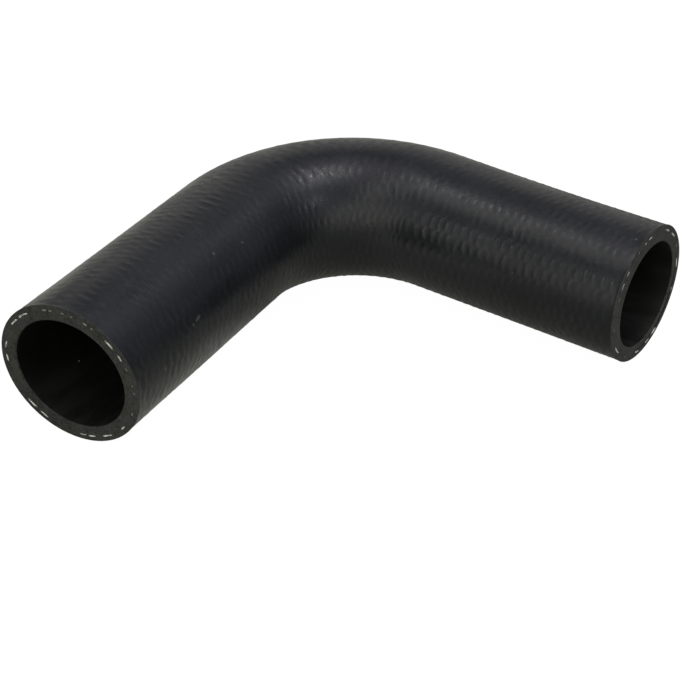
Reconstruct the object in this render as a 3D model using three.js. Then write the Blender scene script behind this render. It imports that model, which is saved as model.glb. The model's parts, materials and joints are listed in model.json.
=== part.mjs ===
// A moulded coolant hose: one rubber elbow with a straight leg on each side of the bend.
// Millimetres, +Z up. The hose lies on its side, as it rests on a bench, with the small leg
// along +X. The origin is under the middle of its bounding box, on the surface it lies on.
import * as THREE from "three";

// Bores and wall
const LARGE_BORE = 34.4; // inside diameter at the large mouth
const SMALL_BORE = 32.6; // inside diameter at the small mouth
const WALL = 4.8;

// Course of the centreline, from the large mouth to the small one
const LARGE_LEG = 81; // straight length before the bend
const SMALL_LEG = 72; // straight length after the bend
const BEND_RADIUS = 44; // on the centreline
const BEND_TURN = 97; // degrees that the hose turns through

// Change of bore, measured back from the small mouth
const SMALL_CUFF = 22; // stretch of even bore that goes over the neck
const TAPER_LENGTH = 95; // stretch before it, over which the bore narrows

// Knife cut of the large mouth, in degrees off square
const CUT_LEAN_UP = 3; // the top of the mouth stands out further than the bottom
const CUT_LEAN_OUT = 3; // the outer side of the bend stands out further than the inner side

// How far the bore has wandered off the middle of the wall at the small mouth
const BORE_DROP = 0.7; // downwards
const BORE_DRIFT = 0.8; // towards the outer side of the bend

// Softened edges of the two mouths
const OUTER_EDGE = 0.6;
const BORE_EDGE = 0.35;

// Fineness of the faces
const FACES_AROUND = 56;
const SHAPED_STEPS = 28; // over the bend and the taper together
const EDGE_STEPS = 2; // over each softened edge

const bendLength = BEND_RADIUS * THREE.MathUtils.degToRad(BEND_TURN);
const bendEnd = LARGE_LEG + bendLength;
const hoseLength = bendEnd + SMALL_LEG;
const taperEnd = hoseLength - SMALL_CUFF;
const taperStart = taperEnd - TAPER_LENGTH;

// Radius of the bore at a distance along the hose. The wall is even, so the outside follows it.
function boreRadius(along) {
  const narrowed = THREE.MathUtils.smoothstep(along, taperStart, taperEnd);
  return THREE.MathUtils.lerp(LARGE_BORE, SMALL_BORE, narrowed) / 2;
}

// Distances along the hose at which the wall gets a ring of points: all through the bend and
// the taper. The plain stretches at the two ends need none.
function ringStations() {
  const first = Math.min(LARGE_LEG, taperStart);
  const last = Math.max(bendEnd, taperEnd);
  const stations = [];
  for (let i = 0; i <= SHAPED_STEPS; i++) {
    stations.push(THREE.MathUtils.lerp(first, last, i / SHAPED_STEPS));
  }
  return stations;
}

// A rounded edge, as points of the section from the mouth's flat face to the wall. The wall
// lies at radius wallRadius and the face at mouthAlong. The signs say on which side of them
// the rubber is.
function roundedEdge(wallRadius, mouthAlong, size, rubberOutward, rubberForward) {
  const points = [];
  for (let i = 0; i <= EDGE_STEPS; i++) {
    const angle = ((Math.PI / 2) * i) / EDGE_STEPS;
    const fromWall = size * (1 - Math.sin(angle));
    const fromFace = size * (1 - Math.cos(angle));
    const radius = wallRadius + rubberOutward * fromWall;
    points.push(new THREE.Vector2(radius, mouthAlong + rubberForward * fromFace));
  }
  return points;
}

// Section of the wall while the hose is still straight: up the outside and back down the bore.
function wallSection() {
  const largeRadius = boreRadius(0);
  const smallRadius = boreRadius(hoseLength);
  const stations = ringStations();
  const outside = stations.map((along) => new THREE.Vector2(boreRadius(along) + WALL, along));
  const inside = stations.map((along) => new THREE.Vector2(boreRadius(along), along));
  const section = [
    ...roundedEdge(largeRadius + WALL, 0, OUTER_EDGE, -1, 1),
    ...outside,
    ...roundedEdge(smallRadius + WALL, hoseLength, OUTER_EDGE, -1, -1).reverse(),
    ...roundedEdge(smallRadius, hoseLength, BORE_EDGE, 1, -1),
    ...inside.reverse(),
    ...roundedEdge(largeRadius, 0, BORE_EDGE, 1, 1).reverse(),
  ];
  return [...section, section[0].clone()];
}

// Place of the centreline on plan, with the directions along the hose and towards the outer
// side of the bend. The small leg runs along +X from the plan's origin.
function centreline(along) {
  const turnLeft = THREE.MathUtils.clamp(bendEnd - along, 0, bendLength) / BEND_RADIUS;
  const forward = new THREE.Vector2(Math.cos(turnLeft), Math.sin(turnLeft));
  const outward = new THREE.Vector2(-Math.sin(turnLeft), Math.cos(turnLeft));
  const straightRun = Math.min(along - LARGE_LEG, 0) + Math.max(along - bendEnd, 0);
  const point = new THREE.Vector2(0, -BEND_RADIUS);
  point.addScaledVector(outward, BEND_RADIUS);
  point.addScaledVector(forward, straightRun);
  return { point, forward, outward };
}

// How far a point of the large leg is pushed out of the mouth by the slanted cut.
function cutLean(outwardOffset, along, up) {
  const leanUp = Math.tan(THREE.MathUtils.degToRad(CUT_LEAN_UP)) * up;
  const leanOut = Math.tan(THREE.MathUtils.degToRad(CUT_LEAN_OUT)) * outwardOffset;
  const nearMouth = THREE.MathUtils.clamp(1 - along / LARGE_LEG, 0, 1);
  return (leanUp + leanOut) * nearMouth;
}

// Carries a point of the straight hose to its place on the bent one. The underside stays
// level, so the centreline's height is the outer radius.
function bendPoint(outwardOffset, along, up) {
  const bore = boreRadius(along);
  const onBore = Math.hypot(outwardOffset, up) < bore + WALL / 2;
  const wander = onBore ? THREE.MathUtils.smoothstep(along, bendEnd, hoseLength) : 0;

  const { point, forward, outward } = centreline(along);
  point.addScaledVector(forward, -cutLean(outwardOffset, along, up));
  point.addScaledVector(outward, outwardOffset + BORE_DRIFT * wander);
  return new THREE.Vector3(point.x, point.y, bore + WALL + up - BORE_DROP * wander);
}

// The hose is turned straight, and every point is then carried round the bend.
function hoseGeometry() {
  const geometry = new THREE.LatheGeometry(wallSection(), FACES_AROUND);
  const position = geometry.getAttribute("position");
  for (let i = 0; i < position.count; i++) {
    const bent = bendPoint(-position.getX(i), position.getY(i), position.getZ(i));
    position.setXYZ(i, bent.x, bent.y, bent.z);
  }
  geometry.computeVertexNormals();
  geometry.computeBoundingBox();
  return geometry;
}

const rubber = new THREE.MeshStandardMaterial({ color: 0x232326, roughness: 0.55, metalness: 0 });

const hose = new THREE.Mesh(hoseGeometry(), rubber);
hose.name = "hose";
const box = hose.geometry.boundingBox;
const middle = box.getCenter(new THREE.Vector3());
hose.position.set(-middle.x, -middle.y, -box.min.z);

const radiatorHose = new THREE.Group();
radiatorHose.add(hose);

export default radiatorHose;
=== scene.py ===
"""Dresses the moulded coolant hose and sets it on a plain studio floor.

The wall and the cut ends of its yarn are made with Geometry Nodes from the hose's own sizes,
by the same rule as the solid that they replace: a straight hose carried round its bend.
"""

import json
import math

import bpy
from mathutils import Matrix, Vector


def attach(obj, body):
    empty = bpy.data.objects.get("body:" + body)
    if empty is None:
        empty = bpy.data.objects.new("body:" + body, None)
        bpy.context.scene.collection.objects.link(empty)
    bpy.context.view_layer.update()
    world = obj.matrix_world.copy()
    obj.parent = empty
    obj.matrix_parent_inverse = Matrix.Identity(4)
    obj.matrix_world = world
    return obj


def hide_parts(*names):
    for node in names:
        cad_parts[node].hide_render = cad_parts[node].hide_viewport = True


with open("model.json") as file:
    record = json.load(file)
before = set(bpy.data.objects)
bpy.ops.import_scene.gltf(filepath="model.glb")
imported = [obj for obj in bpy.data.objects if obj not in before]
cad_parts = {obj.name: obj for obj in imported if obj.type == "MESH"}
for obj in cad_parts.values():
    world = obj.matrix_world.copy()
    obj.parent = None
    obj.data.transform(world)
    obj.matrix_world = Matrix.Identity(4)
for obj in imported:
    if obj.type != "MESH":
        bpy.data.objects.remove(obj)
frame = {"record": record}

bl_info = {
    "name": "Moulded Coolant Hose",
    "version": (1, 0, 0),
    "blender": (4, 5, 0),
    "location": "3D View > Sidebar > Coolant Hose",
    "description": "Makes a moulded rubber elbow hose with the cut yarn in its mouths",
    "category": "Add Mesh",
}

MM = 0.001
SMALL_MOUTH = next(mount for mount in frame["record"]["mounts"] if mount["name"] == "small_mouth")

# Fineness of the wall
POINTS_AROUND = 160
SKIN_RINGS = 480
BORE_RINGS = 60
EDGE_RINGS = 5
FACE_RINGS = 9
MERGED_WITHIN = 0.002 * MM

# Finishes of the wall, by the number that its faces carry
SURFACES = ("Skin", "Cut face", "Bore lining")
SKIN, CUT_FACE, BORE_LINING = range(len(SURFACES))

# Courses of the knitted yarn, as they press through the skin
LARGE_LEG_PITCH = 2.97 * MM
BEND_PITCH = 3.95 * MM
SMALL_LEG_PITCH = 2.75 * MM
PITCH_EASE = 26 * MM
LOOPS_AROUND = 28
LOOP_BULGE = 0.30
LOOP_CREST = 1.5  # power that makes the crests narrower than the dips between them
COLUMN_EDGE = 0.45  # power by which a loop fades towards the edges of its column
BETWEEN_LOOPS = 0.42  # height of the skin between the columns of loops
MEAN_HEIGHT = 0.4  # height that the loops stand out from and fade to
NO_YARN = 0.5  # height where no yarn lies under the surface
RELIEF_FULL_AT = 5  # distance from the mouths, in radii of their outer edges

# How unevenly the courses lie, as the size of the patches and the reach, which is in courses
# along the hose and in radians round it
SLOW_DRIFT = (16 * MM, 0.9)
QUICK_DRIFT = (4 * MM, 0.5)
ASTRAY = (7 * MM, 0.28)

# How unevenly they show: the size of the patches and spots where they are faint, the share
# that is left there, and how much fainter they are on the bend's outer side
FAINT_PATCH = 9 * MM
FAINT_SPOT = 2.6 * MM
FAINTEST = 0.3
FAINTER_OUTSIDE = 0.18

# Size of the slow hollows in the skin
HOLLOW_PATCH = 34 * MM

# Yarn ends that show in each mouth: clock angle from the top towards the bend's outer side,
# in degrees, and length along the face, in millimetres
LARGE_MOUTH_ENDS = (
    (51, 3.2), (38, 3.7), (14, 1.3), (9, 1.0), (-2, 1.0), (-10, 0.7), (-22, 1.3), (-28, 0.7),
    (-45, 3.1), (-58, 1.8), (-68, 1.0), (-83, 0.7), (-90, 0.7), (-111, 1.1), (-131, 1.9),
    (-151, 3.2), (-167, 2.2), (-176, 1.9), (148, 2.6), (135, 3.2), (91, 2.4), (78, 2.1),
)
SMALL_MOUTH_ENDS = (
    (29, 3.1), (47, 3.3), (-5, 1.9), (-13, 1.3), (-25, 0.7), (-46, 1.5), (-57, 1.8),
    (-69, 0.8), (-126, 4.2), (-150, 1.2), (155, 3.0), (166, 2.4), (-175, 1.9), (86, 3.4),
    (66, 1.0), (112, 1.4), (-98, 0.7),
)

# Strands of one yarn end. They differ by shares of its length or of its thickness, and their
# tilt out of the face and turn within it are in radians.
STRANDS = 7
STRAND_SEGMENTS = 8
STRAND_RINGS = 6
STRAND_SPREAD = 0.34
STRAND_SLIP = 0.14
STRAND_STANDS = (-0.12, 0.02)
STRAND_LENGTHS = (0.8, 1.15)
STRAND_THICKNESSES = (0.3, 0.45)
STRAND_TILT = 0.05
STRAND_TURN = 0.14

# Soil on the yarn: the short ends are the soiled ones
SOILED_LENGTH = 0.6 * MM
CLEAN_LENGTH = 2.4 * MM

# Colours of the marks, the bore's paler streaks and painted light, the lint and the soil
MARK_COLOUR = (0.066, 0.069, 0.075)
STREAK_AND_PAINTED_LIGHT_COLOUR = (0.021, 0.022, 0.019)
LINT_COLOUR = (0.5, 0.5, 0.45)
SOIL_COLOUR = (0.20, 0.20, 0.15)

# Pale scuffs and specks on the skin: distance from the large mouth, clock angle in degrees,
# reach along and round, and the angle that the mark is turned by
SCUFFS = (
    (31.3 * MM, -72, 1.4 * MM, 0.5 * MM, 0.25),
    (28.6 * MM, -74, 0.45 * MM, 0.4 * MM, 0.0),
    (12.7 * MM, -87, 0.45 * MM, 0.35 * MM, 0.0),
    (50.0 * MM, -42, 0.55 * MM, 0.4 * MM, 0.5),
    (62.0 * MM, -49, 0.7 * MM, 0.4 * MM, -0.4),
    (225.0 * MM, -16, 0.45 * MM, 0.45 * MM, 0.0),
)

# Bit of lint in the bore, stated in the same way
LINT = (19.6 * MM, 131.9, 0.25 * MM, 0.3 * MM, 0.0)

# Ragged outline of such a mark: the size of its notches and their depth, and between which
# sums of that depth and the squared distance it fades in
NOTCH_SIZE = 0.9 * MM
NOTCH_DEPTH = 1.4
MARK_FADES_IN = (1.9, 1.2)

# Paler streaks along the bore's bottom, which fade between two heights above the floor, and
# painted light inside the small mouth, from a share of the hose's length. The streaks are drawn
# out along the hose, because their pattern is read over a shorter run than the hose has.
BOTTOM_STREAKS_FADE_AT = 17 * MM
BOTTOM_STREAKS_FULL_AT = 5 * MM
MOUTH_PAINTED_LIGHT_FROM = 0.93
MOUTH_PAINTED_LIGHT = 0.9
STREAK_RUN = 45 * MM
STREAK_GIRTH = 108 * MM

# Floor: its reach from the middle, the share of its own glow in it, and that glow's strength
FLOOR_REACH = 4.0
GLOW_SHARE = 0.92
FLOOR_GLOW = 1.08

# Where the floor glows brighter for the hose, each stretch from where it starts to where it
# is full. The strip beside the large leg slopes as that leg does on plan.
LEG_SLOPE = 0.12
LEG_GLOW = 1.1
LEG_GLOW_INSIDE = (18 * MM, -22 * MM)
LEG_GLOW_OUTSIDE = (-45 * MM, -35 * MM)
LEG_GLOW_END = (10 * MM, -15 * MM)
BEHIND_GLOW = 1.7
BEHIND_BEND = (-62 * MM, -87 * MM)

SENSOR_WIDTH = 36  # of the camera, in millimetres

# Soft panels round the bench: azimuth and elevation, width and height as they are seen from
# the hose, all in degrees, then brightness and colour
PANEL_DISTANCE = 1.6
PANELS = {
    "key_panel": (126, 68, 17, 29, 1.25, (1.0, 1.0, 0.98)),
    "key_lamp": (147, 75, 6, 6, 20.0, (1.0, 1.0, 1.02)),
    "high_left_panel": (324, 67, 84, 24, 0.94, (1.02, 1.0, 0.95)),
    "high_left_lamp": (274, 63, 7, 7, 3.1, (0.96, 1.0, 1.08)),
    "high_right_panel": (108, 53, 100, 30, 0.18, (0.93, 1.0, 1.4)),
    "right_lamp": (96, 39, 7, 7, 6.6, (1.0, 1.0, 0.95)),
    "overhead_panel": (153, 78, 48, 40, 0.38, (1.04, 0.97, 1.14)),
    "front_panel": (27, 18, 108, 40, 0.73, (1.03, 1.0, 0.88)),
    "front_lamp": (334, 33, 7, 7, 2.7, (1.0, 1.0, 0.95)),
    "rear_panel": (203, 26, 58, 28, 0.30, (1.06, 1.0, 0.88)),
    "rear_lamp": (166, 41, 7, 7, 0.6, (1.0, 1.0, 1.0)),
    "low_left_strip": (252, 9, 110, 8, 0.38, (1.10, 1.0, 0.72)),
}


class Value:
    """One output of a node. Arithmetic on it adds the Math nodes to its tree."""

    def __init__(self, tree, socket):
        self.tree = tree
        self.socket = socket

    def output(self, name):
        """Another output of the same node."""
        return Value(self.tree, self.socket.node.outputs[name])

    def maths(self, operation, *others):
        """A Math node whose first value is this one."""
        sockets = dict(enumerate((self, *others)))
        return self.tree.node("ShaderNodeMath", {"operation": operation}, sockets)

    def __add__(self, other):
        return self.maths("ADD", other)

    def __sub__(self, other):
        return self.maths("SUBTRACT", other)

    def __rsub__(self, other):
        return self.maths("MULTIPLY", -1).maths("ADD", other)

    def __mul__(self, other):
        return self.maths("MULTIPLY", other)

    def __truediv__(self, other):
        return self.maths("DIVIDE", other)

    def __pow__(self, other):
        return self.maths("POWER", other)

    __radd__ = __add__
    __rmul__ = __mul__


class Tree:
    """A node tree that is written as expressions."""

    def __init__(self, node_tree):
        self.node_tree = node_tree

    def node(self, kind, settings=None, sockets=None, output=0):
        """Adds a node with its settings, which come first, and the values or links of its
        sockets, which are named or numbered. Gives one of its outputs."""
        node = self.node_tree.nodes.new(kind)
        place = len(self.node_tree.nodes)
        node.location = (200 * (place % 12), -220 * (place // 12))
        for name, value in (settings or {}).items():
            setattr(node, name, value)
        for name, value in (sockets or {}).items():
            self.feed(self.socket(node.inputs, name), value)
        return Value(self, self.socket(node.outputs, output)) if len(node.outputs) else node

    def socket(self, sockets, name):
        """A socket by its number, or by its identifier or name."""
        if isinstance(name, int):
            return sockets[name]
        known = [socket for socket in sockets if name == socket.identifier]
        return known[0] if known else sockets[name]

    def feed(self, socket, value):
        """Links a value to a socket, or sets the socket to a number, vector, text or material."""
        if isinstance(value, Value):
            self.node_tree.links.new(value.socket, socket)
        else:
            socket.default_value = value

    def vector(self, x, y, z):
        """A vector from its three parts."""
        return self.node("ShaderNodeCombineXYZ", None, {"X": x, "Y": y, "Z": z})

    def parts(self, vector):
        """The node that splits a vector, as its output X. Its outputs Y and Z are the rest."""
        return self.node("ShaderNodeSeparateXYZ", None, {0: vector})

    def clamp(self, value, low=0, high=1):
        """The value, kept between two limits."""
        return self.node("ShaderNodeClamp", None, {"Value": value, "Min": low, "Max": high})

    def smoothstep(self, value, start, end, low=0, high=1):
        """Goes from low to high without a corner, as the value goes from start to end."""
        sockets = {"Value": value, "From Min": start, "From Max": end}
        sockets |= {"To Min": low, "To Max": high}
        return self.node("ShaderNodeMapRange", {"interpolation_type": "SMOOTHSTEP"}, sockets)

    def noise(self, vector, size, detail=2, roughness=0.5, distortion=0):
        """Cloudy values about 0.5, with patches of about the given size in metres."""
        sockets = {"Vector": vector, "Scale": 1 / size, "Detail": detail}
        sockets |= {"Roughness": roughness, "Distortion": distortion}
        return self.node("ShaderNodeTexNoise", None, sockets)

    def uneven(self, vector, patch, reach):
        """A value that wanders about zero, over patches of about the given size in metres."""
        return (self.noise(vector, patch) - 0.5) * reach


def eased_ramp(tree, value, centre, width):
    """Zero below the centre and rising one for one above it, with an easy curve between."""
    eased = tree.clamp((value - centre) / width + 0.5)
    beyond = (value - centre - width / 2).maths("MAXIMUM", 0)
    return (eased ** 3 - eased ** 4 * 0.5) * width + beyond


def yarn_courses(tree, along, clock, bend_start, bend_end, drift):
    """Height, from 0 to 1, of the yarn under the skin. Each course is a row of bulging loops,
    and the loops beside one another lie half a course apart."""
    course = along / LARGE_LEG_PITCH
    slower = 1 / BEND_PITCH - 1 / LARGE_LEG_PITCH
    faster = 1 / SMALL_LEG_PITCH - 1 / BEND_PITCH
    course = course + eased_ramp(tree, along, bend_start, PITCH_EASE) * slower
    course = course + eased_ramp(tree, along, bend_end, PITCH_EASE) * faster
    course = course + drift
    column = clock * (LOOPS_AROUND / math.tau)
    course = course + (column.maths("FLOOR") * 0.5).maths("FRACT")
    loop = (column * math.pi).maths("SINE").maths("ABSOLUTE")
    bulging = ((course + loop * LOOP_BULGE) * math.tau).maths("COSINE") * 0.5 + 0.5
    return (bulging ** LOOP_CREST - BETWEEN_LOOPS) * loop ** COLUMN_EDGE + BETWEEN_LOOPS


class HoseSizes(bpy.types.PropertyGroup):
    """The hose's sizes, in metres and radians."""

    large_bore: bpy.props.FloatProperty(
        name="Large bore",
        description="Inside diameter at the large mouth",
        default=34.4 * MM,
        min=5 * MM,
        unit="LENGTH",
    )
    small_bore: bpy.props.FloatProperty(
        name="Small bore",
        description="Inside diameter at the small mouth",
        default=32.6 * MM,
        min=5 * MM,
        unit="LENGTH",
    )
    wall: bpy.props.FloatProperty(
        name="Wall",
        description="Thickness of the wall",
        default=4.8 * MM,
        min=1 * MM,
        unit="LENGTH",
    )
    large_leg: bpy.props.FloatProperty(
        name="Large leg",
        description="Straight length before the bend, from the large mouth",
        default=81 * MM,
        min=10 * MM,
        unit="LENGTH",
    )
    small_leg: bpy.props.FloatProperty(
        name="Small leg",
        description="Straight length after the bend, to the small mouth",
        default=72 * MM,
        min=10 * MM,
        unit="LENGTH",
    )
    bend_radius: bpy.props.FloatProperty(
        name="Bend radius",
        description="Radius of the bend on the centreline",
        default=44 * MM,
        min=10 * MM,
        unit="LENGTH",
    )
    bend_turn: bpy.props.FloatProperty(
        name="Bend turn",
        description="Angle that the hose turns through",
        default=math.radians(97),
        min=math.radians(5),
        max=math.radians(180),
        unit="ROTATION",
    )
    small_cuff: bpy.props.FloatProperty(
        name="Small cuff",
        description="Stretch of even bore before the small mouth",
        default=22 * MM,
        min=0,
        unit="LENGTH",
    )
    taper_length: bpy.props.FloatProperty(
        name="Taper length",
        description="Stretch over which the bore narrows, before the small cuff",
        default=95 * MM,
        min=1 * MM,
        unit="LENGTH",
    )
    cut_lean_up: bpy.props.FloatProperty(
        name="Cut lean up",
        description="How far off square the large mouth is cut, towards the top",
        default=math.radians(3),
        unit="ROTATION",
    )
    cut_lean_out: bpy.props.FloatProperty(
        name="Cut lean out",
        description="How far off square the large mouth is cut, towards the bend's outer side",
        default=math.radians(3),
        unit="ROTATION",
    )
    bore_drop: bpy.props.FloatProperty(
        name="Bore drop",
        description="How far the bore lies below the middle of the wall at the small mouth",
        default=0.7 * MM,
        unit="LENGTH",
    )
    bore_drift: bpy.props.FloatProperty(
        name="Bore drift",
        description="How far the bore lies towards the bend's outer side at the small mouth",
        default=0.8 * MM,
        unit="LENGTH",
    )
    outer_edge: bpy.props.FloatProperty(
        name="Outer edge",
        description="Radius of the outer edge of each mouth",
        default=0.15 * MM,
        min=0.05 * MM,
        unit="LENGTH",
    )
    bore_edge: bpy.props.FloatProperty(
        name="Bore edge",
        description="Radius of the bore's edge at each mouth",
        default=0.35 * MM,
        min=0.05 * MM,
        unit="LENGTH",
    )
    course_relief: bpy.props.FloatProperty(
        name="Course relief",
        description="How far the courses of yarn press through the skin",
        default=0.17 * MM,
        min=0,
        unit="LENGTH",
    )
    unevenness: bpy.props.FloatProperty(
        name="Unevenness",
        description="Depth of the slow hollows that moulding by hand leaves",
        default=0.05 * MM,
        min=0,
        unit="LENGTH",
    )


class HoseFinish(bpy.types.PropertyGroup):
    """The hose's colours and the thickness of its yarn."""

    skin_colour: bpy.props.FloatVectorProperty(
        name="Skin colour",
        description="Colour of the rubber's outer skin",
        default=(0.0126, 0.0139, 0.0160),
        min=0,
        max=1,
        subtype="COLOR",
    )
    cut_colour: bpy.props.FloatVectorProperty(
        name="Cut colour",
        description="Colour of the rubber where the knife went through",
        default=(0.046, 0.046, 0.042),
        min=0,
        max=1,
        subtype="COLOR",
    )
    bore_colour: bpy.props.FloatVectorProperty(
        name="Bore colour",
        description="Colour of the rubber inside",
        default=(0.0050, 0.0054, 0.0042),
        min=0,
        max=1,
        subtype="COLOR",
    )
    yarn_colour: bpy.props.FloatVectorProperty(
        name="Yarn colour",
        description="Colour of the cut yarn",
        default=(0.88, 0.87, 0.83),
        min=0,
        max=1,
        subtype="COLOR",
    )
    yarn_thickness: bpy.props.FloatProperty(
        name="Yarn thickness",
        description="Thickness of the yarn where it is cut",
        default=0.6 * MM,
        min=0.1 * MM,
        unit="LENGTH",
    )
    yarn_depth: bpy.props.FloatProperty(
        name="Yarn depth",
        description="Distance from the skin to the middle of the yarn",
        default=1.65 * MM,
        min=0.2 * MM,
        unit="LENGTH",
    )


class StudioSettings(bpy.types.PropertyGroup):
    """The camera's place and the brightness of the studio."""

    camera_azimuth: bpy.props.FloatProperty(
        name="Camera azimuth",
        description="Direction of the camera on plan; zero looks along +Y",
        default=math.radians(36.12),
        unit="ROTATION",
    )
    camera_elevation: bpy.props.FloatProperty(
        name="Camera elevation",
        description="Angle of the camera above the floor",
        default=math.radians(33.64),
        unit="ROTATION",
    )
    camera_distance: bpy.props.FloatProperty(
        name="Camera distance",
        description="Distance from the camera to the point that it looks at",
        default=444.2 * MM,
        min=10 * MM,
        unit="LENGTH",
    )
    camera_target: bpy.props.FloatVectorProperty(
        name="Camera target",
        description="Point that the camera looks at",
        default=(12.03 * MM, -17.23 * MM, 22.0 * MM),
        unit="LENGTH",
    )
    lens: bpy.props.FloatProperty(
        name="Lens",
        description="Focal length for a sensor 36 mm wide, in millimetres",
        default=84.66,
        min=10,
    )
    light: bpy.props.FloatProperty(
        name="Light",
        description="Brightness of all the soft panels together",
        default=1.0,
        min=0,
    )
    fill_colour: bpy.props.FloatVectorProperty(
        name="Fill colour",
        description="Light that comes evenly from all round",
        default=(0.206, 0.212, 0.240),
        min=0,
        max=1,
        subtype="COLOR",
    )
    bounce_colour: bpy.props.FloatVectorProperty(
        name="Bounce colour",
        description="Light that the floor throws back on the hose",
        default=(0.186, 0.189, 0.164),
        min=0,
        max=1,
        subtype="COLOR",
    )
    floor_colour: bpy.props.FloatVectorProperty(
        name="Floor colour",
        description="Colour of the pale floor and of the room behind it",
        default=(0.99, 0.99, 0.99),
        min=0,
        max=1,
        subtype="COLOR",
    )


SIZE_NAMES = tuple(HoseSizes.__annotations__)


def label(size):
    """The name that a size's input has in a node tree."""
    return size.replace("_", " ").capitalize()


def new_geometry_tree(name):
    """An empty Geometry Nodes tree that takes the hose's sizes and puts out one geometry."""
    node_tree = bpy.data.node_groups.new(name, "GeometryNodeTree")
    node_tree.is_modifier = True
    node_tree.interface.new_socket("Geometry", in_out="INPUT", socket_type="NodeSocketGeometry")
    node_tree.interface.new_socket("Geometry", in_out="OUTPUT", socket_type="NodeSocketGeometry")
    for size in SIZE_NAMES:
        node_tree.interface.new_socket(label(size), in_out="INPUT", socket_type="NodeSocketFloat")
    node_tree.interface.new_socket("Plan origin", in_out="INPUT", socket_type="NodeSocketVector")
    return node_tree


class HoseRule:
    """The rule of the hose's shape, written with the size inputs of a Geometry Nodes tree."""

    def __init__(self, tree):
        self.tree = tree
        self.given = tree.node("NodeGroupInput")
        for size in SIZE_NAMES:
            setattr(self, size, self.given.output(label(size)))
        self.bend_length = self.bend_radius * self.bend_turn
        self.bend_end = self.large_leg + self.bend_length
        self.length = self.bend_end + self.small_leg
        self.taper_end = self.length - self.small_cuff
        self.taper_start = self.taper_end - self.taper_length

    def bore_radius(self, along):
        """Radius of the bore at a distance along the hose."""
        large = self.large_bore / 2
        small = self.small_bore / 2
        return self.tree.smoothstep(along, self.taper_start, self.taper_end, large, small)

    def carried_round_bend(self, outward, along, up, on_bore):
        """The place of a point of the straight hose once the hose is bent. A point on the bore
        wanders off the middle of the wall with it."""
        tree = self.tree
        wander = tree.smoothstep(along, self.bend_end, self.length) * on_bore
        turn = tree.clamp(self.bend_end - along, 0, self.bend_length) / self.bend_radius
        straight = (along - self.large_leg).maths("MINIMUM", 0)
        straight = straight + (along - self.bend_end).maths("MAXIMUM", 0)
        lean = self.cut_lean_up.maths("TANGENT") * up
        lean = lean + self.cut_lean_out.maths("TANGENT") * outward
        forward = straight - lean * tree.clamp(1 - along / self.large_leg)
        sideways = outward + self.bore_drift * wander
        from_centre = self.bend_radius + sideways
        cosine = turn.maths("COSINE")
        sine = turn.maths("SINE")
        x = cosine * forward - sine * from_centre
        y = sine * forward + cosine * from_centre - self.bend_radius
        z = self.bore_radius(along) + self.wall + up - self.bore_drop * wander
        point = tree.vector(x, y, z)
        origin = self.given.output("Plan origin")
        return tree.node("ShaderNodeVectorMath", {"operation": "ADD"}, {0: point, 1: origin})


def stored(tree, geometry, name, value, data_type, domain):
    """The geometry, with a value that its points, corners or faces carry under a name."""
    settings = {"data_type": data_type, "domain": domain}
    sockets = {"Geometry": geometry, "Name": name, "Value": value}
    return tree.node("GeometryNodeStoreNamedAttribute", settings, sockets)


def tube_strip(rule, rings, profile, surface, flipped):
    """One turned strip of the straight hose. The profile gives its radius, its distance along
    the hose and the height of the yarn under it, from the strip's own run, 0 to 1, and the
    clock angle. A strip that runs the other way round has its faces flipped."""
    tree = rule.tree
    sizes = {"Size X": 1, "Size Y": 1, "Vertices X": rings, "Vertices Y": POINTS_AROUND + 1}
    grid = tree.node("GeometryNodeMeshGrid", None, sizes)
    parts = tree.parts(tree.node("GeometryNodeInputPosition"))
    run = parts.output("X") + 0.5
    turn = parts.output("Y") + 0.5
    clock = turn * math.tau
    radius, along, yarn = profile(run, clock)
    outward = radius * clock.maths("SINE")
    up = radius * clock.maths("COSINE")
    on_map = tree.vector(along / rule.length, turn, 0)
    strip = stored(tree, grid, "surface", surface, "INT", "FACE")
    strip = stored(tree, strip, "UVMap", on_map, "FLOAT2", "CORNER")
    strip = stored(tree, strip, "yarn", yarn, "FLOAT", "POINT")
    shaped = {"Geometry": strip, "Position": tree.vector(outward, along, up)}
    strip = tree.node("GeometryNodeSetPosition", None, shaped)
    return tree.node("GeometryNodeFlipFaces", None, {"Mesh": strip, "Selection": flipped})


def skin_profile(rule):
    """The outer skin between its two softened edges, with the yarn pressing through."""

    def profile(run, clock):
        tree = rule.tree
        along = rule.outer_edge + run * (rule.length - rule.outer_edge * 2)
        radius = rule.bore_radius(along) + rule.wall
        round_it = tree.vector(clock.maths("SINE") * radius, along, clock.maths("COSINE") * radius)
        drift = tree.uneven(round_it, *SLOW_DRIFT) + tree.uneven(round_it, *QUICK_DRIFT)
        astray = clock + tree.uneven(round_it, *ASTRAY)
        yarn = yarn_courses(tree, along, astray, rule.large_leg, rule.bend_end, drift)
        patches = tree.smoothstep(tree.noise(round_it, FAINT_PATCH), 0.36, 0.64, FAINTEST, 1)
        spots = tree.noise(round_it, FAINT_SPOT, detail=1)
        spots = tree.smoothstep(spots, 0.36, 0.58, FAINTEST, 1)
        inner_side = (1 - FAINTER_OUTSIDE) - clock.maths("SINE") * FAINTER_OUTSIDE
        yarn = (yarn - MEAN_HEIGHT) * patches * spots * inner_side + MEAN_HEIGHT
        hollow = tree.smoothstep(tree.noise(round_it, HOLLOW_PATCH, detail=1), 0.3, 0.7)
        depth = (1 - yarn) * rule.course_relief + hollow * rule.unevenness
        from_mouths = along.maths("MINIMUM", rule.length - along)
        fade = tree.smoothstep(from_mouths, rule.outer_edge, rule.outer_edge * RELIEF_FULL_AT)
        return radius - depth * fade, along, yarn

    return profile


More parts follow.
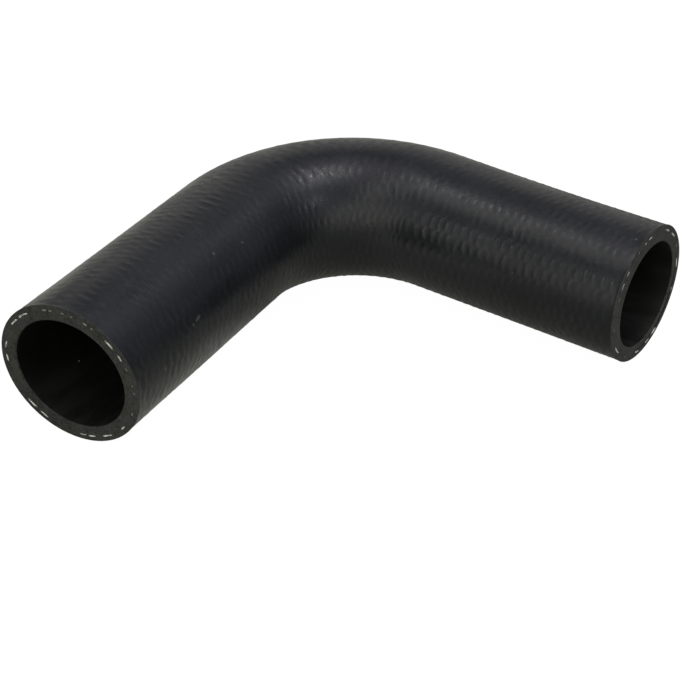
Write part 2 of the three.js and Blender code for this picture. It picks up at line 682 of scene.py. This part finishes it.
def edge_profile(wall_radius, mouth, size, outward, forward):
    """A softened edge, from the mouth's flat face to the wall. The signs say on which side
    of the wall and of the face the rubber lies."""

    def profile(run, clock):
        angle = run * (math.pi / 2)
        radius = wall_radius + (1 - angle.maths("SINE")) * size * outward
        return radius, mouth + (1 - angle.maths("COSINE")) * size * forward, NO_YARN

    return profile


def face_profile(mouth, outer_radius, inner_radius):
    """The flat cut face of a mouth, from its outer edge to its inner one."""

    def profile(run, clock):
        return outer_radius + (inner_radius - outer_radius) * run, mouth, NO_YARN

    return profile


def bore_profile(rule):
    """The smooth bore between its two softened edges."""

    def profile(run, clock):
        along = rule.bore_edge + run * (rule.length - rule.bore_edge * 2)
        return rule.bore_radius(along), along, NO_YARN

    return profile


def wall_strips(rule):
    """All the strips of the wall, which close into one ring of rubber: the rings of each, its
    profile, its finish, and whether it runs the other way round."""
    start = rule.length * 0
    end = rule.length
    large = rule.large_bore / 2
    small = rule.small_bore / 2
    outer = rule.outer_edge
    inner = rule.bore_edge
    large_rim = edge_profile(large + rule.wall, start, outer, -1, 1)
    small_rim = edge_profile(small + rule.wall, end, outer, -1, -1)
    large_face = face_profile(start, large + rule.wall - outer, large + inner)
    small_face = face_profile(end, small + rule.wall - outer, small + inner)
    large_lip = edge_profile(large, start, inner, 1, 1)
    small_lip = edge_profile(small, end, inner, 1, -1)
    return (
        (SKIN_RINGS, skin_profile(rule), SKIN, False),
        (EDGE_RINGS, large_rim, CUT_FACE, False),
        (EDGE_RINGS, small_rim, CUT_FACE, True),
        (FACE_RINGS, large_face, CUT_FACE, True),
        (FACE_RINGS, small_face, CUT_FACE, False),
        (EDGE_RINGS, large_lip, CUT_FACE, True),
        (EDGE_RINGS, small_lip, CUT_FACE, False),
        (BORE_RINGS, bore_profile(rule), BORE_LINING, True),
    )


def wall_tree():
    """The Geometry Nodes tree of the hose's wall."""
    node_tree = new_geometry_tree("Hose wall")
    for name in SURFACES:
        node_tree.interface.new_socket(name, in_out="INPUT", socket_type="NodeSocketMaterial")
    tree = Tree(node_tree)
    rule = HoseRule(tree)

    strips = [tube_strip(rule, *strip) for strip in wall_strips(rule)]
    joined = tree.node("GeometryNodeJoinGeometry")
    for strip in reversed(strips):
        node_tree.links.new(strip.socket, joined.socket.node.inputs[0])
    closed = {"Geometry": joined, "Distance": MERGED_WITHIN}
    geometry = tree.node("GeometryNodeMergeByDistance", None, closed)

    parts = tree.parts(tree.node("GeometryNodeInputPosition"))
    outward = parts.output("X")
    along = parts.output("Y")
    up = parts.output("Z")
    radius = (outward ** 2 + up ** 2).maths("SQRT")
    on_bore = radius.maths("LESS_THAN", rule.bore_radius(along) + rule.wall / 2)
    bent = rule.carried_round_bend(outward, along, up, on_bore)
    geometry = tree.node("GeometryNodeSetPosition", None, {"Geometry": geometry, "Position": bent})
    geometry = tree.node("GeometryNodeSetShadeSmooth", None, {0: geometry, "Shade Smooth": True})
    geometry = tree.node("GeometryNodeRealizeInstances", None, {"Geometry": geometry})

    whole_number = {"data_type": "INT"}
    surface = tree.node("GeometryNodeInputNamedAttribute", whole_number, {"Name": "surface"})
    for number, name in enumerate(SURFACES):
        here = surface.maths("COMPARE", number, 0.1)
        sockets = {"Geometry": geometry, "Selection": here, "Material": rule.given.output(name)}
        geometry = tree.node("GeometryNodeSetMaterial", None, sockets)
    tree.node("NodeGroupOutput", None, {"Geometry": geometry})
    return node_tree


def yarn_tree():
    """The Geometry Nodes tree of the cut yarn in one mouth. Each point of the mesh that it
    works on is one yarn end and carries its clock angle and its length."""
    node_tree = new_geometry_tree("Yarn ends")
    new_socket = node_tree.interface.new_socket
    new_socket("Mouth", in_out="INPUT", socket_type="NodeSocketFloat")
    new_socket("Yarn thickness", in_out="INPUT", socket_type="NodeSocketFloat")
    new_socket("Yarn depth", in_out="INPUT", socket_type="NodeSocketFloat")
    new_socket("Seed", in_out="INPUT", socket_type="NodeSocketInt")
    new_socket("Yarn", in_out="INPUT", socket_type="NodeSocketMaterial")
    tree = Tree(node_tree)
    rule = HoseRule(tree)
    thickness = rule.given.output("Yarn thickness")
    seed = rule.given.output("Seed")

    def random(low, high, offset):
        """A number for each strand. Every property of it has an offset to the seed."""
        settings = {"data_type": "FLOAT"}
        sockets = {"Min_001": low, "Max_001": high, "Seed": seed + offset}
        return tree.node("FunctionNodeRandomValue", settings, sockets, "Value_001")

    # Each yarn end is a bundle of strands
    points = tree.node("GeometryNodeMeshToPoints", None, {0: rule.given.output("Geometry")})
    copies = {"Geometry": points, "Amount": STRANDS}
    bundle = tree.node("GeometryNodeDuplicateElements", {"domain": "POINT"}, copies)
    clock = tree.node("GeometryNodeInputNamedAttribute", None, {"Name": "clock"})
    length = tree.node("GeometryNodeInputNamedAttribute", None, {"Name": "length"})

    ball = {"Segments": STRAND_SEGMENTS, "Rings": STRAND_RINGS, "Radius": 0.5}
    strand = tree.node("GeometryNodeMeshUVSphere", None, ball)
    angle = random(0, math.tau, 1)
    spread = random(0, 1, 2) ** 0.5 * thickness * STRAND_SPREAD
    slip = length * random(-STRAND_SLIP, STRAND_SLIP, 3)
    across = spread * angle.maths("COSINE")
    proud = random(*STRAND_STANDS, 8) * thickness
    place = tree.vector(slip, across, proud)
    shorter = length * random(*STRAND_LENGTHS, 4)
    fine = thickness * random(*STRAND_THICKNESSES, 5)
    size = tree.vector(shorter, fine, fine)
    tilt = random(-STRAND_TILT, STRAND_TILT, 6)
    turn = random(-STRAND_TURN, STRAND_TURN, 7)
    twist = tree.node("FunctionNodeEulerToRotation", None, {0: tree.vector(0, tilt, turn)})
    placed = tree.node("GeometryNodeSetPosition", None, {"Geometry": bundle, "Position": place})
    instances = {"Points": placed, "Instance": strand, "Rotation": twist, "Scale": size}
    strands = tree.node("GeometryNodeInstanceOnPoints", None, instances)
    geometry = tree.node("GeometryNodeRealizeInstances", None, {"Geometry": strands})

    # The bundles are laid round the wall, then carried with it round the bend
    parts = tree.parts(tree.node("GeometryNodeInputPosition"))
    at_mouth = rule.given.output("Mouth")
    along_mouth = rule.length * at_mouth
    facing = at_mouth * 2 - 1
    middle = rule.bore_radius(along_mouth) + rule.wall - rule.given.output("Yarn depth")
    radius = middle + parts.output("Y")
    turned = clock + parts.output("X") / middle
    along = along_mouth + facing * parts.output("Z")
    outward = radius * turned.maths("SINE")
    up = radius * turned.maths("COSINE")
    bent = rule.carried_round_bend(outward, along, up, on_bore=0)
    geometry = tree.node("GeometryNodeSetPosition", None, {"Geometry": geometry, "Position": bent})
    mirrored = {"Mesh": geometry, "Selection": facing.maths("LESS_THAN", 0)}
    geometry = tree.node("GeometryNodeFlipFaces", None, mirrored)
    geometry = tree.node("GeometryNodeSetShadeSmooth", None, {0: geometry, "Shade Smooth": True})
    sockets = {"Geometry": geometry, "Material": rule.given.output("Yarn")}
    geometry = tree.node("GeometryNodeSetMaterial", None, sockets)
    tree.node("NodeGroupOutput", None, {"Geometry": geometry})
    return node_tree


def made_by_nodes(name, mesh, node_tree, values):
    """A piece whose plain mesh is what the tree makes of the given mesh and input values."""
    piece = bpy.data.objects.new(name, mesh)
    bpy.context.collection.objects.link(piece)
    modifier = piece.modifiers.new(node_tree.name, "NODES")
    modifier.node_group = node_tree
    for item in node_tree.interface.items_tree:
        if item.in_out == "INPUT" and item.name in values:
            modifier[item.identifier] = values[item.name]
    graph = bpy.context.evaluated_depsgraph_get()
    made = bpy.data.meshes.new_from_object(
        piece.evaluated_get(graph), preserve_all_data_layers=True, depsgraph=graph
    )
    if not made.polygons:
        raise RuntimeError(f"{name}: its node tree made no faces")
    piece.modifiers.clear()
    piece.data = made
    made.name = name
    return piece


def size_values(scene):
    """The values that every tree of the hose takes, from the panel's sizes."""
    sizes = scene.hose_sizes
    values = {label(size): getattr(sizes, size) for size in SIZE_NAMES}
    x, y, _ = SMALL_MOUTH["pos_m"]
    values["Plan origin"] = (x - sizes.small_leg, y, 0.0)
    return values


def new_material(name, specular, roughness=0.5):
    """A material with its tree and its shader. A roughness that varies is linked later."""
    material = bpy.data.materials.new(name)
    material.use_nodes = True
    shader = material.node_tree.nodes["Principled BSDF"]
    shader.inputs["Specular IOR Level"].default_value = specular
    shader.inputs["Roughness"].default_value = roughness
    return material, Tree(material.node_tree), shader


def on_piece(tree):
    """The place on the piece, in metres from the frame's origin."""
    return tree.node("ShaderNodeTexCoord").output("Object")


def unrolled(tree):
    """The parts of the wall's UV map: X goes along the hose and Y round it, from 0 to 1."""
    return tree.parts(tree.node("ShaderNodeUVMap", {"uv_map": "UVMap"}))


def carried(tree, name):
    """A number that the points of the mesh carry."""
    return tree.node("ShaderNodeAttribute", {"attribute_name": name}).output("Fac")


def scaled(colour, factor=1.0):
    """A colour as four numbers, made lighter or darker."""
    return tuple(part * factor for part in colour) + (1.0,)


def colour_mix(tree, factor, first, second):
    """Goes from the first colour to the second with the factor."""
    sockets = {"Factor_Float": factor, "A_Color": first, "B_Color": second}
    return tree.node("ShaderNodeMix", {"data_type": "RGBA"}, sockets, "Result_Color")


def toned(tree, mottle, colour, darkest, lightest):
    """Goes from the darkest tone of a colour to its lightest with the mottle."""
    return colour_mix(tree, mottle, scaled(colour, darkest), scaled(colour, lightest))


def bump(tree, height, distance, normal=None):
    """A Bump node over another, if there is one."""
    sockets = {"Height": height, "Distance": distance, "Strength": 1}
    if normal:
        sockets["Normal"] = normal
    return tree.node("ShaderNodeBump", None, sockets)


def ragged_spot(tree, sizes, along, clock, reach_along, reach_round, turn):
    """A mask, 1 inside a ragged spot on the wall. Its place is a distance along the hose and a
    clock angle, and it reaches so far each way from there."""
    run = sizes.large_leg + sizes.bend_radius * sizes.bend_turn + sizes.small_leg
    radius = sizes.large_bore / 2 + sizes.wall
    parts = unrolled(tree)
    x = parts.output("X") * run - along
    y = (parts.output("Y") - (math.radians(clock) / math.tau) % 1) * (math.tau * radius)
    ahead = (x * math.cos(turn) + y * math.sin(turn)) / reach_along
    aside = (y * math.cos(turn) - x * math.sin(turn)) / reach_round
    notches = tree.noise(on_piece(tree), NOTCH_SIZE) * NOTCH_DEPTH
    return tree.smoothstep(ahead ** 2 + aside ** 2 + notches, *MARK_FADES_IN)


def skin_material(sizes, finish):
    """Moulded outer skin: satin, faintly mottled, with fine grain and a few rubbed marks."""
    material, tree, shader = new_material("Satin moulded rubber", specular=0.5)
    place = on_piece(tree)
    yarn = carried(tree, "yarn")

    cloud = tree.noise(place, 26 * MM, detail=3, roughness=0.55)
    fine = tree.noise(place, 1.1 * MM, detail=4, roughness=0.6)
    # The knit's crests are toned lighter: partly rubbed tone, partly painted shading that brings
    # out their relief.
    mottle = tree.smoothstep(cloud * 0.4 + fine * 0.2 + yarn * 0.4, 0.3, 0.7)
    base = toned(tree, mottle, finish.skin_colour, darkest=0.58, lightest=1.42)
    marks = tree.smoothstep(tree.noise(place, 1.3 * MM, detail=1), 0.80, 0.84) * 0.5
    for scuff in SCUFFS:
        marks = marks.maths("MAXIMUM", ragged_spot(tree, sizes, *scuff))
    base = colour_mix(tree, marks, base, scaled(MARK_COLOUR))
    tree.feed(shader.inputs["Base Color"], base)

    # The raised loops are rubbed smoother than the skin between them
    smear = tree.noise(place, 12 * MM, detail=4, roughness=0.6)
    blotches = tree.noise(place, 1.4 * MM)
    roughness = tree.smoothstep(smear, 0.3, 0.7, 0.28, 0.38)
    roughness = roughness - (yarn - MEAN_HEIGHT) * 0.22 + (blotches - 0.5) * 0.22
    tree.feed(shader.inputs["Roughness"], roughness)

    grain = tree.noise(place, 0.55 * MM, detail=3, roughness=0.6)
    dimples = tree.noise(place, 3.4 * MM)
    skin = bump(tree, grain, 0.010 * MM)
    skin = bump(tree, blotches, 0.028 * MM, skin)
    skin = bump(tree, dimples, 0.04 * MM, skin)
    tree.feed(shader.inputs["Normal"], skin)
    return material


def cut_material(finish):
    """Rubber as the knife leaves it: matt, a little lighter, pitted, with fine drag lines. The
    pitting is darkened as painted shade, and the small mouth's face is given a lighter tone as
    painted light."""
    material, tree, shader = new_material("Knife-cut rubber", specular=0.3)
    colour = finish.cut_colour
    place = on_piece(tree)
    cloud = tree.noise(place, 3.5 * MM, detail=4, roughness=0.6)
    fine = tree.noise(place, 0.75 * MM, detail=3, roughness=0.65)
    upright = tree.node("ShaderNodeMapping", None, {"Vector": place, "Scale": (1, 1, 0.16)})
    drag = tree.noise(upright, 0.35 * MM)
    mottle = tree.smoothstep(cloud * 0.3 + fine * 0.5 + drag * 0.2, 0.38, 0.62)
    base = toned(tree, mottle, colour, darkest=0.55, lightest=1.4)
    # Painted light: the small mouth's face gets a lighter tone for the light that falls on it.
    painted_light_tone = toned(tree, mottle, colour, darkest=0.95, lightest=1.85)
    base = colour_mix(tree, unrolled(tree).output("X"), base, painted_light_tone)
    # Painted shade: the pits are darkened in colour as well as sunk by the bump.
    pits_and_painted_shade = tree.smoothstep(tree.noise(place, 0.9 * MM, detail=1), 0.64, 0.70)
    base = colour_mix(tree, pits_and_painted_shade * 0.7, base, scaled(colour, 0.25))
    tree.feed(shader.inputs["Base Color"], base)
    tree.feed(shader.inputs["Roughness"], tree.smoothstep(fine, 0.3, 0.7, 0.55, 0.85))
    cut = bump(tree, fine, 0.06 * MM)
    cut = bump(tree, drag - pits_and_painted_shade * 2, 0.04 * MM, cut)
    tree.feed(shader.inputs["Normal"], cut)
    return material


def bore_material(sizes, finish):
    """The smooth dark lining of the bore, with paler streaks along its bottom, painted light in
    streaks inside the small mouth, and one bit of lint."""
    material, tree, shader = new_material("Bore lining", specular=0.25)
    place = on_piece(tree)
    cloud = tree.noise(place, 9 * MM, detail=4, roughness=0.6)
    mottle = tree.smoothstep(cloud, 0.34, 0.66)
    base = toned(tree, mottle, finish.bore_colour, darkest=0.85, lightest=1.15)

    parts = unrolled(tree)
    along = parts.output("X")
    drawn_out = tree.vector(along * STREAK_RUN, parts.output("Y") * STREAK_GIRTH, 0)
    streaks = tree.noise(drawn_out, 5 * MM, detail=3, roughness=0.55, distortion=0.3)
    bottom = tree.smoothstep(tree.parts(place).output("Z"), BOTTOM_STREAKS_FADE_AT, BOTTOM_STREAKS_FULL_AT)
    # Painted light: the bore is made lighter inside the small mouth, where light falls in.
    mouth = tree.smoothstep(along, MOUTH_PAINTED_LIGHT_FROM, 1, 0, MOUTH_PAINTED_LIGHT)
    pale_streaks_and_painted_light = bottom.maths("MAXIMUM", mouth) * tree.smoothstep(streaks, 0.4, 0.66, 0.4, 1)
    base = colour_mix(tree, pale_streaks_and_painted_light, base, scaled(STREAK_AND_PAINTED_LIGHT_COLOUR))
    base = colour_mix(tree, ragged_spot(tree, sizes, *LINT), base, scaled(LINT_COLOUR))
    tree.feed(shader.inputs["Base Color"], base)
    tree.feed(shader.inputs["Roughness"], tree.smoothstep(cloud, 0.3, 0.7, 0.47, 0.57))
    return material


def yarn_material(finish):
    """White synthetic yarn, soiled by the rubber in spots and where an end is short."""
    material, tree, shader = new_material("White reinforcing yarn", specular=0.4, roughness=0.6)
    spots = tree.smoothstep(tree.noise(on_piece(tree), 1.6 * MM), 0.5, 0.75)
    short = tree.smoothstep(carried(tree, "length"), CLEAN_LENGTH, SOILED_LENGTH)
    soil = tree.clamp(spots + short)
    base = colour_mix(tree, soil, scaled(finish.yarn_colour), scaled(SOIL_COLOUR))
    tree.feed(shader.inputs["Base Color"], base)
    return material


def direction(azimuth, elevation):
    """The way from the hose to something round the bench, from angles in radians. Azimuth
    zero is towards -Y, and it goes round by +X."""
    level = math.cos(elevation)
    return Vector((math.sin(azimuth) * level, -math.cos(azimuth) * level, math.sin(elevation)))


def aimed(name, data, place, towards):
    """A lamp or a camera at a place, turned to look back against the direction given."""
    piece = bpy.data.objects.new(name, data)
    bpy.context.collection.objects.link(piece)
    piece.location = place
    piece.rotation_mode = "QUATERNION"
    piece.rotation_quaternion = (-towards).to_track_quat("-Z", "Y")
    return piece


def panel_width(angle):
    """Width of a panel that is seen under an angle, in degrees, from the hose."""
    return 2 * PANEL_DISTANCE * math.tan(math.radians(angle / 2))


class HOSE_OT_make_wall(bpy.types.Operator):
    """Make the hose's wall, with its skin, its two cut faces and its bore"""

    bl_idname = "hose.make_wall"
    bl_label = "Make Hose Wall"

    def execute(self, context):
        sizes = context.scene.hose_sizes
        finish = context.scene.hose_finish
        values = size_values(context.scene)
        values["Skin"] = skin_material(sizes, finish)
        values["Cut face"] = cut_material(finish)
        values["Bore lining"] = bore_material(sizes, finish)
        mesh = bpy.data.meshes.new("hose_wall")
        piece = made_by_nodes("hose_wall", mesh, wall_tree(), values)
        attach(piece, "root")
        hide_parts("hose")
        return {"FINISHED"}


class HOSE_OT_make_yarn_ends(bpy.types.Operator):
    """Make the cut ends of the yarn that show in the faces of both mouths"""

    bl_idname = "hose.make_yarn_ends"
    bl_label = "Make Yarn Ends"

    def execute(self, context):
        finish = context.scene.hose_finish
        node_tree = yarn_tree()
        yarn = yarn_material(finish)
        mouths = (
            ("large_mouth_yarn", LARGE_MOUTH_ENDS, 0.0, 3),
            ("small_mouth_yarn", SMALL_MOUTH_ENDS, 1.0, 8),
        )
        for name, ends, mouth, seed in mouths:
            values = size_values(context.scene)
            values["Mouth"] = mouth
            values["Yarn thickness"] = finish.yarn_thickness
            values["Yarn depth"] = finish.yarn_depth
            values["Seed"] = seed
            values["Yarn"] = yarn
            piece = made_by_nodes(name, self.points(name, ends), node_tree, values)
            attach(piece, "root")
        return {"FINISHED"}

    def points(self, name, ends):
        """A mesh with one point for each yarn end, which carries its clock angle and length."""
        mesh = bpy.data.meshes.new(name)
        mesh.from_pydata([(0, 0, 0)] * len(ends), [], [])
        clock = mesh.attributes.new("clock", "FLOAT", "POINT")
        length = mesh.attributes.new("length", "FLOAT", "POINT")
        for number, (angle, long) in enumerate(ends):
            clock.data[number].value = math.radians(angle)
            length.data[number].value = long * MM
        return mesh


class HOSE_OT_set_stage(bpy.types.Operator):
    """Set the pale floor, the soft panels and the camera"""

    bl_idname = "hose.set_stage"
    bl_label = "Set Stage"

    def execute(self, context):
        studio = context.scene.hose_studio
        self.lay_floor(studio)
        self.light_room(context.scene, studio)
        for name, panel in PANELS.items():
            self.hang_panel(name, studio.light, *panel)
        self.place_camera(context.scene, studio)
        context.scene.view_settings.view_transform = "Standard"
        return {"FINISHED"}

    def lay_floor(self, studio):
        """A plain floor that shows pale to the camera, and gives the hose a dimmer glow."""
        half = FLOOR_REACH
        mesh = bpy.data.meshes.new("floor")
        corners = [(-half, -half, 0), (half, -half, 0), (half, half, 0), (-half, half, 0)]
        mesh.from_pydata(corners, [], [(0, 1, 2, 3)])
        floor = bpy.data.objects.new("floor", mesh)
        bpy.context.collection.objects.link(floor)
        material, tree, shader = new_material("Pale floor", specular=0.2, roughness=0.9)
        shader.inputs["Base Color"].default_value = (0.8, 0.8, 0.8, 1.0)
        seen = tree.node("ShaderNodeLightPath").output("Is Camera Ray")
        colour = colour_mix(tree, seen, scaled(studio.bounce_colour), scaled(studio.floor_colour))
        parts = tree.parts(on_piece(tree))
        x = parts.output("X")
        y = parts.output("Y")
        out = x + y * LEG_SLOPE
        beside = tree.smoothstep(out, *LEG_GLOW_INSIDE) * tree.smoothstep(out, *LEG_GLOW_OUTSIDE)
        beside = beside * tree.smoothstep(y, *LEG_GLOW_END) * LEG_GLOW
        behind = tree.smoothstep(x, *BEHIND_BEND) * BEHIND_GLOW
        strength = ((beside + behind) * (1 - seen) + 1) * FLOOR_GLOW
        glow = tree.node("ShaderNodeEmission", None, {"Color": colour, "Strength": strength})
        paper = Value(tree, shader.outputs["BSDF"])
        shown = tree.node("ShaderNodeMixShader", None, {0: GLOW_SHARE, 1: paper, 2: glow})
        tree.feed(material.node_tree.nodes["Material Output"].inputs["Surface"], shown)
        mesh.materials.append(material)

    def light_room(self, scene, studio):
        """Even light from all round, behind which the room shows as pale as the floor."""
        world = bpy.data.worlds.new("Pale room")
        world.use_nodes = True
        scene.world = world
        tree = Tree(world.node_tree)
        seen = tree.node("ShaderNodeLightPath").output("Is Camera Ray")
        background = world.node_tree.nodes["Background"]
        colour = colour_mix(tree, seen, scaled(studio.fill_colour), scaled(studio.floor_colour))
        tree.feed(background.inputs["Color"], colour)

    def hang_panel(self, name, light, azimuth, elevation, width, height, brightness, colour):
        """A soft panel that faces the hose from its place round the bench."""
        towards = direction(math.radians(azimuth), math.radians(elevation))
        lamp = bpy.data.lights.new(name, "AREA")
        lamp.shape = "RECTANGLE"
        lamp.size = panel_width(width)
        lamp.size_y = panel_width(height)
        lamp.energy = light * brightness * math.pi * lamp.size * lamp.size_y
        lamp.color = colour
        aimed(name, lamp, towards * PANEL_DISTANCE, towards)

    def place_camera(self, scene, studio):
        """The camera where the photograph was taken from."""
        back = direction(studio.camera_azimuth, studio.camera_elevation)
        camera = bpy.data.cameras.new("camera")
        camera.sensor_width = SENSOR_WIDTH
        camera.lens = studio.lens
        place = Vector(studio.camera_target) + back * studio.camera_distance
        scene.camera = aimed("camera", camera, place, back)


class HOSE_PT_panel(bpy.types.Panel):
    """Sizes, finish and studio of the coolant hose"""

    bl_idname = "HOSE_PT_panel"
    bl_label = "Moulded Coolant Hose"
    bl_space_type = "VIEW_3D"
    bl_region_type = "UI"
    bl_category = "Coolant Hose"

    def draw(self, context):
        groups = (
            ("Sizes", context.scene.hose_sizes),
            ("Finish", context.scene.hose_finish),
            ("Studio", context.scene.hose_studio),
        )
        for title, group in groups:
            box = self.layout.box()
            box.label(text=title)
            for name in type(group).__annotations__:
                box.prop(group, name)
        for operator in (HOSE_OT_make_wall, HOSE_OT_make_yarn_ends, HOSE_OT_set_stage):
            self.layout.operator(operator.bl_idname)


CLASSES = (
    HoseSizes,
    HoseFinish,
    StudioSettings,
    HOSE_OT_make_wall,
    HOSE_OT_make_yarn_ends,
    HOSE_OT_set_stage,
    HOSE_PT_panel,
)


def register():
    """Registers the classes and gives each scene its settings."""
    for kind in CLASSES:
        bpy.utils.register_class(kind)
    bpy.types.Scene.hose_sizes = bpy.props.PointerProperty(type=HoseSizes)
    bpy.types.Scene.hose_finish = bpy.props.PointerProperty(type=HoseFinish)
    bpy.types.Scene.hose_studio = bpy.props.PointerProperty(type=StudioSettings)


def unregister():
    """Takes the settings and the classes away again."""
    del bpy.types.Scene.hose_studio
    del bpy.types.Scene.hose_finish
    del bpy.types.Scene.hose_sizes
    for kind in reversed(CLASSES):
        bpy.utils.unregister_class(kind)


def main():
    """Makes the whole scene."""
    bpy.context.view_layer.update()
    register()
    bpy.ops.hose.make_wall()
    bpy.ops.hose.make_yarn_ends()
    bpy.ops.hose.set_stage()


if __name__ == "__main__":
    main()
